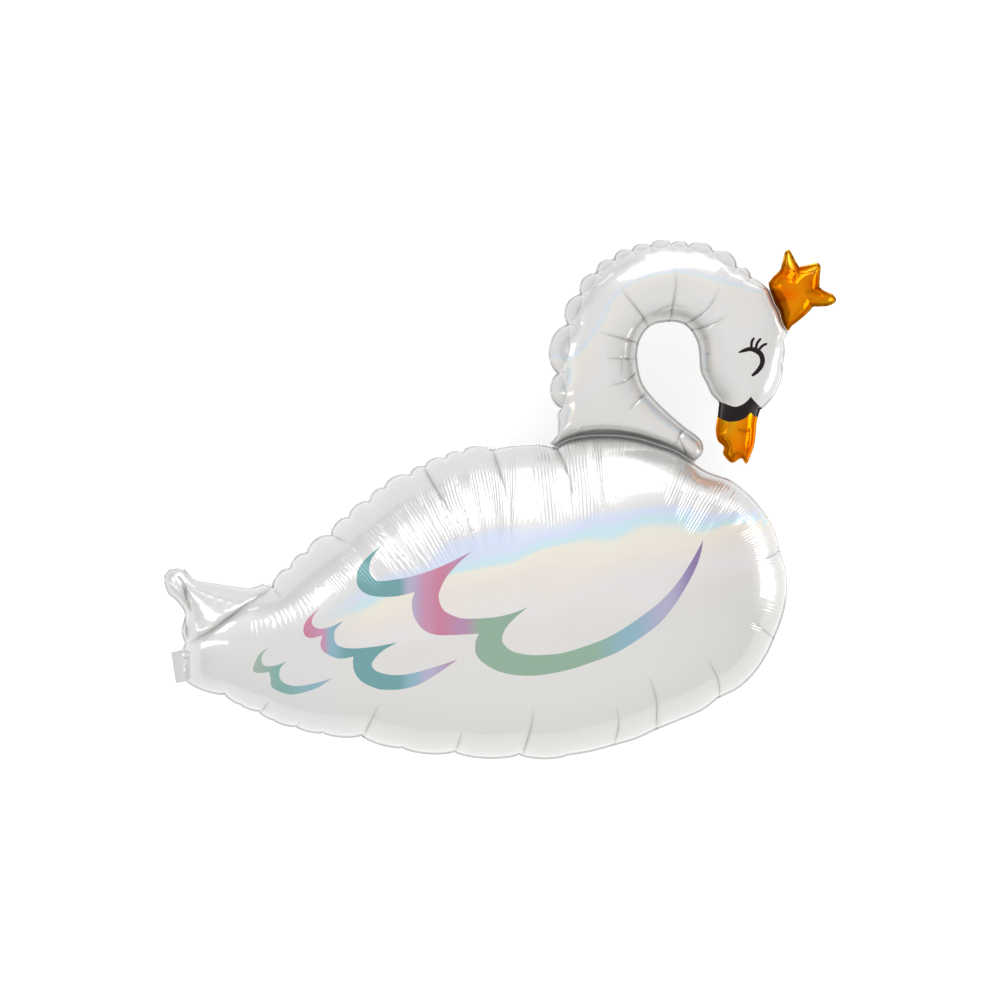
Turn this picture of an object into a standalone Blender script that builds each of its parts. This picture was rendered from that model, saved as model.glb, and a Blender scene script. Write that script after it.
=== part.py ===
"""Swan foil balloon, lying on its back with the front face up.

Three sealed foil chambers share one seam plane: the body with its forked tail,
the neck with the head and beak, and the crown. Each chamber is two flat foils
welded round their outline and blown up. So its outline is drawn flat, filled
with points, raised to the height of a taut skin and mirrored to the back.
"""

import math

import bmesh
import bpy
import numpy as np
from mathutils.geometry import delaunay_2d_cdt

# Sizes in metres. Each can be set by itself.
LENGTH = 0.88  # from the tip of the tail to the tip of the crown
BODY_THICKNESS = 0.27  # the blown body, before its underside is pressed flat
NECK_THICKNESS = 0.105  # at the thickest place of the neck and head
CROWN_THICKNESS = 0.05
SEAM_WIDTH = 0.004  # flat welded border outside each chamber
SEAM_THICKNESS = 0.0016  # both foils at the weld
CHAMBER_GAP = 0.0003  # between the borders of two chambers that meet
REST_FLAT_DEPTH = 0.009  # how far the underside is pressed flat where it lies
FULLNESS = 0.42  # 0.5 gives a round pillow, less gives one with a flatter top and a steeper rim
CREASE_WIDTH = 0.005  # how fast a crease rises again on both sides
CREASE_DEPTH = 0.34  # share of the skin's height that a crease takes at the weld

# Spacing of the points that carry the skin, in metres.
OUTLINE_STEP = 0.010
FINE_OUTLINE_STEP = 0.006
CREASE_STEP = 0.008
RINGS = ((0.0025, 0.006), (0.008, 0.010), (0.017, 0.014), (0.030, 0.019))  # distance in from the weld, spacing
GRID_STEP = 0.026
SOLVED = 1e-16  # share of the load at which the skin has come to rest

# Outline points, clockwise, in thousandths of the length from the middle of the drawing.
SHARE = LENGTH / 1000
NAPE_BULGE = 0.27  # rise of a puff of foil over the chord between its notches
BACK_BULGE = 0.18
SOFT_BULGE = 0.085
NO_BULGE = 0
POINTS_PER_PUFF = 5

TAIL = [(-468, -212), (-473, -194), (-468, -169), (-479, -151), (-493, -138), (-499, -117), (-494, -105),
        (-481, -100), (-469, -101), (-460, -111), (-445, -118), (-418, -122), (-392, -126), (-368, -128),
        (-349, -123), (-338, -128)]
BACK_NOTCHES = [(-338, -128), (-312, -100), (-287, -77), (-251, -51), (-225, -24), (-194, 0), (-172, 20),
                (-134, 39), (-111, 52), (-82, 64), (-55, 73), (-13, 76)]
BACK = [(-13, 76), (12, 81), (45, 84), (67, 82), (83, 78)]
NECK_WELD = [(83, 78), (92, 85), (108, 91), (131, 95), (154, 96), (178, 95), (205, 91), (231, 83),
             (257, 74), (273, 65), (288, 55)]
BREAST_TOP = [(288, 55), (303, 45), (320, 38), (338, 32), (356, 20), (374, 4), (390, -15), (404, -37),
              (411, -58), (415, -76)]
BREAST = [(415, -76), (423, -101), (426, -128), (424, -154), (417, -181), (407, -206)]
BREAST_UNDER = [(407, -206), (396, -230), (377, -258), (353, -280), (323, -295)]
BELLY_FRONT = [(323, -295), (301, -312), (267, -327), (230, -342)]
BELLY = [(230, -342), (202, -355), (168, -365)]
BELLY_BACK = [(168, -365), (134, -374), (98, -380)]
BELLY_NOTCHES = [(98, -380), (28, -378), (-68, -374), (-145, -368), (-206, -350), (-263, -346), (-303, -337),
                 (-337, -327), (-359, -314), (-386, -304), (-409, -289), (-466, -269)]
TAB = [(-466, -269), (-481, -272), (-488, -226), (-472, -222), (-468, -212)]  # flat filling tab, square cut

NECK_WEB = [(74, 84), (80, 91), (85, 99), (86, 117), (85, 128), (91, 136)]
NAPE_NOTCHES = [(91, 136), (85, 188), (100, 261), (119, 306), (143, 338), (169, 358), (196, 372), (223, 378),
                (254, 381), (279, 378), (316, 370), (351, 346), (372, 331), (398, 309)]
CROWN_BASE = [(398, 322), (401, 309), (407, 293), (414, 280), (418, 266), (423, 256), (428, 249)]
BROW_NOTCHES = [(425, 246), (420, 237), (419, 202), (413, 169), (386, 134)]
BEAK = [(386, 134), (381, 116), (378, 86), (371, 64), (365, 53), (358, 62), (344, 55), (331, 68), (332, 79),
        (323, 88), (320, 105), (323, 126), (325, 144)]
THROAT = [(325, 144), (313, 157), (306, 172), (297, 191), (295, 217), (292, 234), (283, 251), (272, 261)]
HOOK = [(272, 261), (257, 264), (242, 263), (228, 260), (217, 252), (208, 237), (204, 220), (205, 199),
        (211, 175), (223, 157), (243, 136), (270, 112), (289, 98)]
FOOT = [(289, 98), (299, 88), (302, 76), (299, 67), (290, 58)]

CROWN_SPIKE = [(398, 322), (406, 332), (415, 341), (419, 353), (422, 366), (427, 372), (432, 368), (438, 356),
               (444, 346)]
CROWN_CORNER = [(444, 346), (457, 349), (471, 352), (476, 346), (475, 335), (474, 316)]
CROWN_HORN = [(474, 316), (482, 310), (494, 305), (499, 297), (493, 290), (481, 287), (465, 287)]
CROWN_EDGE = [(465, 287), (455, 276), (441, 264), (432, 257), (428, 249)]

# Creases, each from the weld inwards.
BODY_CREASES = [((-13, 76), (12, -10)), ((88, 80), (110, -12)), ((-111, 52), (-52, -47)), ((-251, -51), (-222, -63)),
                ((-338, -128), (-318, -150)), ((-312, -100), (-304, -112)), ((-287, -77), (-279, -89)),
                ((-225, -24), (-215, -38)), ((-194, 0), (-184, -14)), ((-172, 20), (-162, 4)),
                ((-134, 39), (-124, 24)), ((-82, 64), (-74, 46)), ((-55, 73), (-49, 55)),
                ((415, -76), (381, -93)), ((407, -206), (370, -178)), ((323, -295), (305, -238)),
                ((230, -342), (226, -270)), ((168, -365), (172, -306)), ((28, -378), (48, -304)),
                ((-68, -374), (-54, -336)), ((-206, -350), (-177, -300)), ((-303, -337), (-297, -322)),
                ((-359, -314), (-342, -294)), ((-409, -289), (-402, -276)), ((-468, -212), (-400, -185)),
                ((-338, -128), (-405, -178)), ((-470, -140), (-440, -158))]
NECK_CREASES = [((85, 188), (104, 190)), ((100, 261), (122, 256)), ((119, 306), (137, 294)),
                ((143, 338), (157, 322)), ((169, 358), (180, 340)), ((196, 372), (204, 352)),
                ((223, 378), (229, 358)), ((254, 381), (256, 361)), ((279, 378), (278, 358)),
                ((316, 370), (308, 352)), ((351, 346), (338, 332)), ((372, 331), (360, 316)),
                ((217, 252), (177, 313)), ((250, 264), (260, 340)), ((272, 261), (323, 311)),
                ((283, 251), (338, 276)), ((204, 230), (148, 248)), ((208, 190), (160, 170)),
                ((218, 162), (190, 132)), ((275, 70), (266, 102)), ((421, 202), (402, 202)),
                ((415, 169), (396, 176)), ((332, 79), (345, 82)), ((358, 62), (357, 80))]
CROWN_CREASES = [((418, 352), (432, 340)), ((444, 346), (437, 320)), ((474, 316), (452, 306)),
                 ((407, 293), (424, 296)), ((465, 287), (454, 298))]

PEARL_COLOUR = (0.86, 0.87, 0.88, 1.0)
GOLD_COLOUR = (0.85, 0.42, 0.03, 1.0)


def clear_scene():
    for obj in list(bpy.data.objects):
        bpy.data.objects.remove(obj)


def foil_material(name, colour, metallic, roughness):
    material = bpy.data.materials.new(name)
    material.use_nodes = True
    shader = material.node_tree.nodes["Principled BSDF"]
    shader.inputs["Base Color"].default_value = colour
    shader.inputs["Metallic"].default_value = metallic
    shader.inputs["Roughness"].default_value = roughness
    return material


def placed(shares):
    """Shares of the length as points in metres."""
    return [np.array(point) * SHARE for point in shares]


def smooth_curve(points, step):
    """Points about a step apart on a curve through the given points."""
    ends = [2 * points[0] - points[1], *points, 2 * points[-1] - points[-2]]
    curve = []
    for before, start, end, after in zip(ends, ends[1:], ends[2:], ends[3:]):
        pieces = max(1, round(np.linalg.norm(end - start) / step))
        for t in np.arange(pieces) / pieces:
            bend = (2 * before - 5 * start + 4 * end - after) * t + (3 * start - before - 3 * end + after) * t * t
            curve.append(start + 0.5 * t * (end - before + bend))
    return [*curve, points[-1]]


def puffs(notches, bulge):
    """Arcs that bulge outwards between notches, with the outside on the left of the way round."""
    curve = []
    for start, end in zip(notches, notches[1:]):
        chord = end - start
        outwards = np.array((-chord[1], chord[0]))
        for t in np.arange(POINTS_PER_PUFF) / POINTS_PER_PUFF:
            rise = bulge * (4 * t * (1 - t)) ** 0.7
            curve.append(start + t * chord + rise * outwards)
    return [*curve, notches[-1]]


def closed_outline(*stretches):
    """Stretches joined end to end, with no point twice."""
    outline = [stretches[0][0]]
    for point in [p for stretch in stretches for p in stretch]:
        if np.linalg.norm(point - outline[-1]) > SEAM_THICKNESS / 4:
            outline.append(point)
    if np.linalg.norm(outline[0] - outline[-1]) < SEAM_THICKNESS / 4:
        outline.pop()
    return np.array(outline)


def moved_sideways(curve, distance):
    """An open curve moved to the left of its own way by a distance."""
    curve = np.array(curve)
    along = np.gradient(curve, axis=0)
    left = np.column_stack((-along[:, 1], along[:, 0]))
    return list(curve + distance * left / np.linalg.norm(left, axis=1)[:, None])


def distance_to_line(points, line):
    """Shortest distance of each point to a closed line of points."""
    start, end = line, np.roll(line, -1, axis=0)
    span = end - start
    offset = points[:, None] - start
    t = np.clip((offset * span).sum(2) / (span * span).sum(1), 0, 1)
    return np.linalg.norm(offset - t[..., None] * span, axis=2).min(1)


def inside(points, line):
    """Which points lie within a closed line."""
    x0, y0 = line.T
    x1, y1 = np.roll(line, -1, axis=0).T
    x, y = points[:, 0, None], points[:, 1, None]
    crosses = (y0 > y) != (y1 > y)
    rise = np.where(y1 == y0, 1.0, y1 - y0)
    return (crosses & (x < (x1 - x0) * (y - y0) / rise + x0)).sum(1) % 2 == 1


def inset(line, distance):
    """A closed line moved inwards, without the points that would come too near the old one."""
    along = np.roll(line, -1, axis=0) - np.roll(line, 1, axis=0)
    inwards = np.column_stack((along[:, 1], -along[:, 0]))
    moved = line + distance * inwards / np.linalg.norm(inwards, axis=1)[:, None]
    keep = inside(moved, line) & (distance_to_line(moved, line) > 0.9 * distance)
    return moved[keep]


def crease_points(creases):
    """Points down the middle of each crease and along both its flanks."""
    middles, flanks = [], []
    for start, end in creases:
        way = end - start
        length = np.linalg.norm(way)
        side = np.array((-way[1], way[0])) / length
        for t in (np.arange(round(length / CREASE_STEP)) + 1) * CREASE_STEP / length:
            if t < 1:
                middle = start + t * way
                middles.append(middle)
                flanks += [middle + side * CREASE_WIDTH, middle - side * CREASE_WIDTH]
    return middles, flanks


def fill_points(weld, creases):
    """Points inside the weld: the creases first, then rings along the weld, then an even grid."""
    kept = list(weld)
    middles, flanks = crease_points(creases)
    batches = [(middles, CREASE_STEP), (flanks, CREASE_STEP)]
    batches += [(inset(weld, distance), spacing) for distance, spacing in RINGS]
    low, high = weld.min(0), weld.max(0)
    rows = np.arange(low[1], high[1], GRID_STEP * math.sqrt(3) / 2)
    grid = [(x + GRID_STEP / 2 * (n % 2), y) for n, y in enumerate(rows)
            for x in np.arange(low[0], high[0], GRID_STEP)]
    batches.append((grid, GRID_STEP))
    nearest_to_weld = RINGS[0][0] * 0.7
    for batch, spacing in batches:
        if not len(batch):
            continue
        batch = np.array(batch)
        fits = inside(batch, weld) & (distance_to_line(batch, weld) > nearest_to_weld)
        for point in batch[fits]:
            room = 0.6 * spacing if batch is not batches[0][0] else 0.3 * spacing
            away = np.linalg.norm(np.array(kept[len(weld):] or [(9, 9)]) - point, axis=1).min()
            if away > room:
                kept.append(point)
        nearest_to_weld = max(nearest_to_weld, 0.35 * spacing)
    return np.array(kept[len(weld):])


def skin_rise(points, triangles, held):
    """The rise of an evenly loaded skin over the triangles, as a share, nil at the held points.

    It is a power of the solution of Poisson's equation, found by conjugate gradients.
    """
    ends, weights = [], []
    load = np.zeros(len(points))
    for corner in range(3):
        a, b, c = (triangles[:, (corner + k) % 3] for k in range(3))
        to_b, to_c = points[b] - points[a], points[c] - points[a]
        area = np.abs(to_b[:, 0] * to_c[:, 1] - to_b[:, 1] * to_c[:, 0]) / 2
        ends.append(np.column_stack((b, c)))
        weights.append((to_b * to_c).sum(1) / (4 * np.maximum(area, 1e-12)))
        load += np.bincount(a, area / 3, len(points))
    (first, second), weight = np.vstack(ends).T, np.concatenate(weights)
    diagonal = np.bincount(first, weight, len(points)) + np.bincount(second, weight, len(points))
    free = ~held

    def pull(x):
        near = np.bincount(first, weight * x[second], len(points))
        near += np.bincount(second, weight * x[first], len(points))
        return np.where(free, diagonal * x - near, 0)

    height = np.zeros(len(points))
    rest = np.where(free, load, 0)
    step = rest.copy()
    for _ in range(len(points)):
        pulled = pull(step)
        size = (rest @ rest) / (step @ pulled)
        height += size * step
        left = rest - size * pulled
        if left @ left < SOLVED * (load @ load):
            break
        step = left + step * (left @ left) / (rest @ rest)
        rest = left
    height = np.maximum(height, 0) ** FULLNESS
    return height / height.max()


def crease_share(points, creases):
    """How much of its height each point keeps beside the creases, which fade towards their inner ends."""
    kept = np.ones(len(points))
    for start, end in creases:
        way = end - start
        t = np.clip((points - start) @ way / (way @ way), 0, 1)
        away = np.linalg.norm(points - start - t[:, None] * way, axis=1)
        kept *= 1 - CREASE_DEPTH * (1 - t) * np.exp(-away / CREASE_WIDTH)
    return kept


def chamber(name, outline, creases, thickness, place, flat_zone=None):
    """One closed foil chamber: a flat outline with a welded border, raised inside it and mirrored."""
    creases = [tuple(np.array(end) * SHARE for end in crease) for crease in creases]
    weld = inset(outline, SEAM_WIDTH)
    fill = fill_points(weld, creases)
    points = np.vstack((outline, weld, fill))
    loops = []
    for start, count in ((0, len(outline)), (len(outline), len(weld))):
        loops += [(start + n, start + (n + 1) % count) for n in range(count)]
    flat, _, triangles, origins, _, _ = delaunay_2d_cdt([tuple(p) for p in points], loops, [], 1, 1e-7)
    flat = np.array([tuple(p) for p in flat])
    triangles = np.array(triangles)
    first = np.array([min(o) if o else len(points) for o in origins])
    on_edge = first < len(outline)
    triangles = triangles[~on_edge[triangles].all(1)]  # a triangle between three border points would stay flat
    held = on_edge | (first < len(outline) + len(weld)) | ~inside(flat, weld)
    if flat_zone is not None:
        held |= inside(flat, flat_zone)
    half_seam = SEAM_THICKNESS / 2
    rise = skin_rise(flat, triangles, held) * crease_share(flat, creases)
    height = half_seam + (thickness / 2 - half_seam) * rise
    height[on_edge] = 0

    mesh = bpy.data.meshes.new(name)
    mesh.from_pydata([(x, y, z) for (x, y), z in zip(flat, height)], [], triangles.tolist())
    work = bmesh.new()
    work.from_mesh(mesh)
    bmesh.ops.recalc_face_normals(work, faces=work.faces)
    if sum(face.normal.z * face.calc_area() for face in work.faces) < 0:
        bmesh.ops.reverse_faces(work, faces=work.faces)
    work.to_mesh(mesh)
    work.free()
    mesh.shade_smooth()
    obj = bpy.data.objects.new(name, mesh)
    obj.location = place
    mirror = obj.modifiers.new("back foil", "MIRROR")
    mirror.use_axis = (False, False, True)
    mirror.merge_threshold = 0.00001
    return obj


def press_flat(obj, cutters):
    """Takes away what would lie below the floor, as the weight of the balloon presses it flat."""
    side = 2 * LENGTH
    bpy.ops.mesh.primitive_cube_add(size=side, location=(0, 0, -side / 2))
    floor = bpy.context.object
    floor.name = "floor_cutter"
    floor.hide_render = True
    floor.display_type = "WIRE"
    for collection in list(floor.users_collection):
        collection.objects.unlink(floor)
    cutters.objects.link(floor)
    cut = obj.modifiers.new("resting flat", "BOOLEAN")
    cut.operation = "DIFFERENCE"
    cut.object = floor


def body_outline(weld_line):
    return closed_outline(
        smooth_curve(placed(TAIL), FINE_OUTLINE_STEP),
        puffs(placed(BACK_NOTCHES), BACK_BULGE),
        smooth_curve(placed(BACK), OUTLINE_STEP),
        weld_line,
        smooth_curve(placed(BREAST_TOP), OUTLINE_STEP),
        smooth_curve(placed(BREAST), OUTLINE_STEP),
        smooth_curve(placed(BREAST_UNDER), OUTLINE_STEP),
        smooth_curve(placed(BELLY_FRONT), OUTLINE_STEP),
        smooth_curve(placed(BELLY), OUTLINE_STEP),
        smooth_curve(placed(BELLY_BACK), OUTLINE_STEP),
        puffs(placed(BELLY_NOTCHES), SOFT_BULGE),
        puffs(placed(TAB), NO_BULGE),
    )


def neck_outline(weld_line, crown_base):
    above_weld = moved_sideways(weld_line, CHAMBER_GAP)
    behind_crown = moved_sideways(crown_base, -CHAMBER_GAP)
    shared = [p for p in behind_crown if p[1] < NAPE_NOTCHES[-1][1] * SHARE]
    return closed_outline(
        smooth_curve(placed(NECK_WEB), FINE_OUTLINE_STEP),
        puffs(placed(NAPE_NOTCHES[:-1]), NAPE_BULGE),
        puffs([*placed(NAPE_NOTCHES[-2:-1]), shared[0]], SOFT_BULGE),
        shared,
        puffs(placed(BROW_NOTCHES), SOFT_BULGE),
        smooth_curve(placed(BEAK), FINE_OUTLINE_STEP),
        smooth_curve(placed(THROAT), FINE_OUTLINE_STEP),
        smooth_curve(placed(HOOK), OUTLINE_STEP),
        smooth_curve(placed(FOOT), FINE_OUTLINE_STEP),
        above_weld[::-1],
    )


def crown_outline(crown_base):
    return closed_outline(
        smooth_curve(placed(CROWN_SPIKE), FINE_OUTLINE_STEP),
        smooth_curve(placed(CROWN_CORNER), FINE_OUTLINE_STEP),
        smooth_curve(placed(CROWN_HORN), FINE_OUTLINE_STEP),
        smooth_curve(placed(CROWN_EDGE), FINE_OUTLINE_STEP),
        crown_base[::-1],
    )


def build():
    clear_scene()
    swan = bpy.data.collections.new("swan_balloon")
    cutters = bpy.data.collections.new("cutters")
    for collection in (swan, cutters):
        bpy.context.scene.collection.children.link(collection)

    weld_line = smooth_curve(placed(NECK_WELD), OUTLINE_STEP)
    crown_base = smooth_curve(placed(CROWN_BASE), FINE_OUTLINE_STEP)
    outlines = [body_outline(weld_line), neck_outline(weld_line, crown_base), crown_outline(crown_base)]
    drawing = np.vstack(outlines)
    middle = (drawing.min(0) + drawing.max(0)) / 2
    place = (-middle[0], -middle[1], BODY_THICKNESS / 2 - REST_FLAT_DEPTH)

    body = chamber("body", outlines[0], BODY_CREASES, BODY_THICKNESS, place, np.array(placed(TAB)))
    press_flat(body, cutters)
    neck = chamber("neck_and_head", outlines[1], NECK_CREASES, NECK_THICKNESS, place)
    crown = chamber("crown", outlines[2], CROWN_CREASES, CROWN_THICKNESS, place)
    body.data.materials.append(foil_material("body_foil", PEARL_COLOUR, 0.5, 0.25))
    neck.data.materials.append(foil_material("neck_foil", PEARL_COLOUR, 0.5, 0.25))
    crown.data.materials.append(foil_material("crown_foil", GOLD_COLOUR, 0.9, 0.25))
    for piece in (body, neck, crown):
        swan.objects.link(piece)


build()
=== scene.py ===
"""Looks of a swan-shaped foil balloon that lies on its back with its printed front face up.

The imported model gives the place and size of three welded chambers: body, neck with head, and crown.
Each chamber is blown up again here from its flat outline, with fine puffs, creases and gathers, and
dressed in pearl or gold film and its print.
"""

import logging
import math
from collections.abc import Sequence
from dataclasses import dataclass, field
from enum import Enum

import bmesh
import bpy
import numpy as np
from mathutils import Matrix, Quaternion, Vector
from mathutils.geometry import delaunay_2d_cdt


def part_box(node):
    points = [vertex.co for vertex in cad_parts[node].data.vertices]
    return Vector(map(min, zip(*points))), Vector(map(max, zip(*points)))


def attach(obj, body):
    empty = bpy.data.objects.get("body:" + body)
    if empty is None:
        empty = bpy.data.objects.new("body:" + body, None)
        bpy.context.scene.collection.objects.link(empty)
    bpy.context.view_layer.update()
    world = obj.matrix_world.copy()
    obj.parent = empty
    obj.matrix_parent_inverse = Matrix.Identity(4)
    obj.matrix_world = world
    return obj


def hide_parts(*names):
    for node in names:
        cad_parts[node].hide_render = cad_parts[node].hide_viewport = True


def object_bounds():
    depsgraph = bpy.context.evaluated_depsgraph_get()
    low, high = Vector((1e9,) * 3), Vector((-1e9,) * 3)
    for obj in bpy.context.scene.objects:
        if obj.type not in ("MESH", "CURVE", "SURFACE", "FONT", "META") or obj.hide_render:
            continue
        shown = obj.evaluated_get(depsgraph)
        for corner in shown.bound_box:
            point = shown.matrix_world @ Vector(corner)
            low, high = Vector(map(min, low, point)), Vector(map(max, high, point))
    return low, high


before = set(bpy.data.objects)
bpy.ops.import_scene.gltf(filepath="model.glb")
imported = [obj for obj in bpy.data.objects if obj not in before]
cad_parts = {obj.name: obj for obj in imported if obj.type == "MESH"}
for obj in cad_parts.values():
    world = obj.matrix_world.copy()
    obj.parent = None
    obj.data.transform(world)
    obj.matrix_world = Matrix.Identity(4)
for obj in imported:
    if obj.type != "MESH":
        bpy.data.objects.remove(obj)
CAD_LOW, CAD_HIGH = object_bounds()

LOG = logging.getLogger("swan_balloon")
Point = tuple[float, float]
Colour = tuple[float, float, float]
Curve = list[np.ndarray]

# The drawing is in thousandths of the balloon's length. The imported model's box sets its width in metres,
# and its middle lies this far above the drawing's own zero.
DRAWING_WIDTH = 998.0
SHARE = (CAD_HIGH.x - CAD_LOW.x) / DRAWING_WIDTH
DRAWING_MIDDLE_Y = 1.476
NECK_LOW, NECK_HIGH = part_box("neck_and_head")
SEAM_HEIGHT = (NECK_LOW.z + NECK_HIGH.z) / 2

# Metres: the flat weld, the gap between two chambers, and how far apart the points of a line stand.
SEAM_WIDTH = 0.0025
SEAM_THICKNESS = 0.0016
CHAMBER_GAP = 0.0003
SAME_PLACE = SEAM_THICKNESS / 4
FINE = 0.0026
PRINT_STEP = 0.0022
CREASE_STEP = 0.006

# What shapes the foil. A fullness of 0.5 gives a round pillow, and less gives one with a flatter top. A
# crease reaches this many of its widths, and one as deep as a full fold, in metres, gets the darkest
# painted shade.
FULLNESS = 0.42
PUFF_ROUNDNESS = 0.7
EVEN_FADE = 0.5
TAPERED_FADE = 0.7
CREASE_REACH = 8
FULL_FOLD = 0.003

# Limits of the sums: how much is worked out at once, and the least numbers that are divided by.
CELLS_AT_ONCE = 2_000_000
LEAST_LENGTH = 1e-6
LEAST_SPAN = 1e-18
LEAST_AREA = 1e-12
LEAST_PULL = 1e-9
LEAST_WORK = 1e-30
AT_REST = 1e-14
MOST_STEPS = 4000

# The photograph's frame: the camera looks straight down through a long lens.
LENGTH_IN_PICTURE = 0.674
IMAGE_SIDE = 1000 / LENGTH_IN_PICTURE * SHARE
LENS = 300.0
SENSOR = 36.0
CAMERA_DISTANCE = IMAGE_SIDE * LENS / SENSOR


class Finish(Enum):
    """What a face of foil carries."""

    FOIL = 0
    SMALL_FEATHERS = 1
    MIDDLE_FEATHERS = 2
    LARGE_FEATHERS = 3
    BLACK = 4
    GOLD = 5


@dataclass(frozen=True)
class Crease:
    """A valley in the foil, deepest at its first point and gone at its last."""

    line: tuple[Point, ...]
    depth: float = 0.004
    width: float = 0.0025
    even: bool = False


@dataclass(frozen=True)
class Gather:
    """A line with fine gathers square to the weld on both sides of it."""

    line: tuple[Point, ...]
    half_width: float
    strength: float = 1.0


@dataclass(frozen=True)
class Patch:
    """A printed patch of foil: a closed line of smooth runs that meet in corners."""

    finish: Finish
    runs: tuple[tuple[Point, ...], ...]


def placed(shares: list[Point] | tuple[Point, ...]) -> Curve:
    """Turn shares of the length into points in metres.

    Args:
        shares: Points in thousandths of the balloon's length.

    Returns:
        The same points in metres, measured from the middle of the model's footprint.
    """
    return [np.array((x, y - DRAWING_MIDDLE_Y)) * SHARE for x, y in shares]


def smooth_curve(points: Curve, step: float) -> Curve:
    """Lay a smooth curve through points.

    Args:
        points: Points that the curve passes through.
        step: Distance between the curve's own points.

    Returns:
        Points along the curve, both ends included.
    """
    ends = [2 * points[0] - points[1], *points, 2 * points[-1] - points[-2]]
    curve = []
    for before, start, end, after in zip(ends, ends[1:], ends[2:], ends[3:]):
        pieces = max(1, round(np.linalg.norm(end - start) / step))
        for t in np.arange(pieces) / pieces:
            bend = (2 * before - 5 * start + 4 * end - after) * t
            bend += (3 * start - before - 3 * end + after) * t * t
            curve.append(start + 0.5 * t * (end - before + bend))
    return [*curve, points[-1]]


def puffs(notches: Curve, bulge: float, step: float) -> Curve:
    """Lay arcs between notches that bulge outwards, to the left of the way round.

    Args:
        notches: The places where the foil is drawn in.
        bulge: Rise of each arc as a share of its chord.
        step: Distance between the points of an arc.

    Returns:
        Points along the arcs, both ends included.
    """
    curve = []
    for start, end in zip(notches, notches[1:]):
        chord = end - start
        outwards = np.array((-chord[1], chord[0]))
        pieces = max(1, round(np.linalg.norm(chord) / step))
        for t in np.arange(pieces) / pieces:
            curve.append(start + t * chord + bulge * (4 * t * (1 - t)) ** PUFF_ROUNDNESS * outwards)
    return [*curve, notches[-1]]


def closed_outline(*stretches: Curve) -> np.ndarray:
    """Join stretches end to end into one closed line.

    Args:
        stretches: Runs of points, each starting where the one before ends.

    Returns:
        The line's points, with none twice.
    """
    outline = [stretches[0][0]]
    for point in [p for stretch in stretches for p in stretch]:
        if np.linalg.norm(point - outline[-1]) > SAME_PLACE:
            outline.append(point)
    if np.linalg.norm(outline[0] - outline[-1]) < SAME_PLACE:
        outline.pop()
    return np.array(outline)


def moved_sideways(curve: Curve, distance: float) -> Curve:
    """Move an open curve to the left of its own way by a distance."""
    points = np.array(curve)
    along = np.gradient(points, axis=0)
    left = np.column_stack((-along[:, 1], along[:, 0]))
    return list(points + distance * left / np.linalg.norm(left, axis=1)[:, None])


def nearest_on_line(points: np.ndarray, line: np.ndarray,
                    closed: bool = True) -> tuple[np.ndarray, np.ndarray]:
    """Find the nearest place on a line for each point.

    Args:
        points: The points, one in each row.
        line: The line's points.
        closed: Whether the line's last point joins its first.

    Returns:
        The distance to the line, and the way along the line from its first point to the nearest place.
    """
    ends = np.roll(line, -1, axis=0) if closed else line[1:]
    starts = line if closed else line[:-1]
    span = ends - starts
    lengths = np.linalg.norm(span, axis=1)
    travelled = np.concatenate(((0.0,), np.cumsum(lengths)[:-1]))
    distance, way = np.empty(len(points)), np.empty(len(points))
    batch = max(1, CELLS_AT_ONCE // len(starts))
    for first in range(0, len(points), batch):
        offset = points[first:first + batch, None] - starts
        t = np.clip((offset * span).sum(2) / np.maximum(lengths**2, LEAST_SPAN), 0, 1)
        away = np.linalg.norm(offset - t[..., None] * span, axis=2)
        best = away.argmin(1)
        rows = np.arange(len(best))
        distance[first:first + batch] = away[rows, best]
        way[first:first + batch] = travelled[best] + t[rows, best] * lengths[best]
    return distance, way


def inside(points: np.ndarray, line: np.ndarray) -> np.ndarray:
    """Tell which points lie within a closed line.

    Args:
        points: The points, one in each row.
        line: The closed line's points.

    Returns:
        One true or false for each point.
    """
    within = np.zeros(len(points), bool)
    for (x0, y0), (x1, y1) in zip(line, np.roll(line, -1, axis=0)):
        if y0 != y1:
            crosses = (y0 > points[:, 1]) != (y1 > points[:, 1])
            within ^= crosses & (points[:, 0] < (x1 - x0) * (points[:, 1] - y0) / (y1 - y0) + x0)
    return within


def inset(line: np.ndarray, distance: float, room: float = 0.9) -> np.ndarray:
    """Move a closed line inwards.

    Args:
        line: The closed line's points.
        distance: How far it moves.
        room: Share of that distance that each point keeps from the old line, or else it is left out.

    Returns:
        The points of the new line.
    """
    along = np.roll(line, -1, axis=0) - np.roll(line, 1, axis=0)
    inwards = np.column_stack((along[:, 1], -along[:, 0]))
    moved = line + distance * inwards / np.linalg.norm(inwards, axis=1)[:, None]
    return moved[inside(moved, line) & (nearest_on_line(moved, line)[0] > room * distance)]


def smoothed(line: np.ndarray, window: int) -> np.ndarray:
    """Average a closed line over a number of its own points."""
    shifts = range(-(window // 2), window // 2 + 1)
    return np.mean([np.roll(line, shift, axis=0) for shift in shifts], axis=0)


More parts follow.
